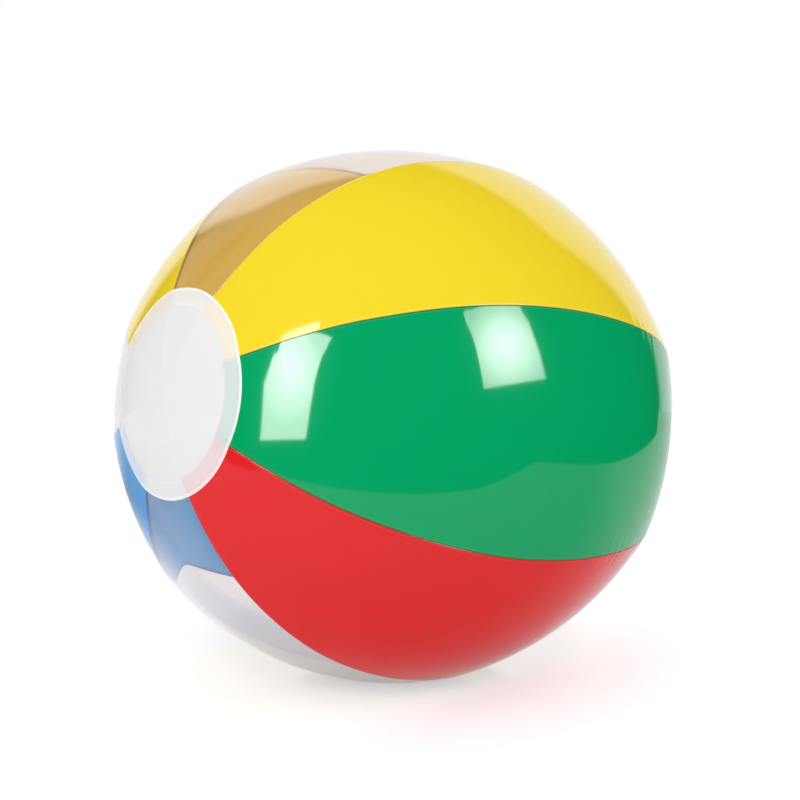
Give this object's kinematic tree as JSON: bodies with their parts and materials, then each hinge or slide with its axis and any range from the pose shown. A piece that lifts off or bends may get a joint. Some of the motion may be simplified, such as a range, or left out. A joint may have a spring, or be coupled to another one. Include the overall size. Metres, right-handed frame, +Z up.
{
  "type": "inflatable beach ball",
  "caption": "Inflated beach ball of coloured and clear vinyl gores with a white disc at each end and a push-in air valve with plug, strap and check flap.",
  "frame": {"origin": "on the floor under the middle of the ball, at the bottom centre of its bounding box", "axes": "+Z up; +Y away from the viewer who faces the green gore; the front pole points towards -X and -Y, lifted 9 degrees"},
  "size_m": [0.397, 0.3954, 0.388],
  "materials": {
    "film_clear": "clear, slightly milky gloss vinyl film",
    "film_yellow": "gloss vinyl film",
    "film_green": "gloss vinyl film",
    "film_red": "gloss vinyl film",
    "film_blue": "gloss vinyl film",
    "film_white": "milky white gloss vinyl film",
    "valve_vinyl": "soft moulded vinyl"
  },
  "bodies": {
    "ball": {"gore_clear_top": "film_clear", "gore_yellow_front": "film_yellow", "gore_green": "film_green", "gore_red": "film_red", "gore_clear_base": "film_clear", "gore_blue": "film_blue", "gore_clear_back": "film_clear", "gore_yellow_back": "film_yellow", "end_disc_front": "film_white", "end_disc_rear": "film_white", "valve_flange": "valve_vinyl", "valve_web": "valve_vinyl"},
    "stem": {"valve_stem": "valve_vinyl", "valve_strap": "valve_vinyl"},
    "plug": {"valve_plug": "valve_vinyl"},
    "flap": {"check_flap": "valve_vinyl"}
  },
  "joints": [
    {"name": "stem_pull", "type": "slide", "parent": "ball", "child": "stem", "axis": [-0.2109, 0.9753, -0.0656], "range_m": [0, 0.016], "deforming": ["valve_web"]},
    {"name": "plug_pull", "type": "slide", "parent": "stem", "child": "plug", "axis": [-0.2109, 0.9753, -0.0656], "range_m": [0, 0.009], "deforming": ["valve_strap"]},
    {"name": "flap_open", "type": "hinge", "parent": "stem", "child": "flap", "pos_m": [-0.03827, 0.18209, 0.18054], "axis": [-0.128, -0.0941, -0.9873], "range_deg": [0, 70], "stiffness_Nm_per_rad": 0.00002}
  ]
}
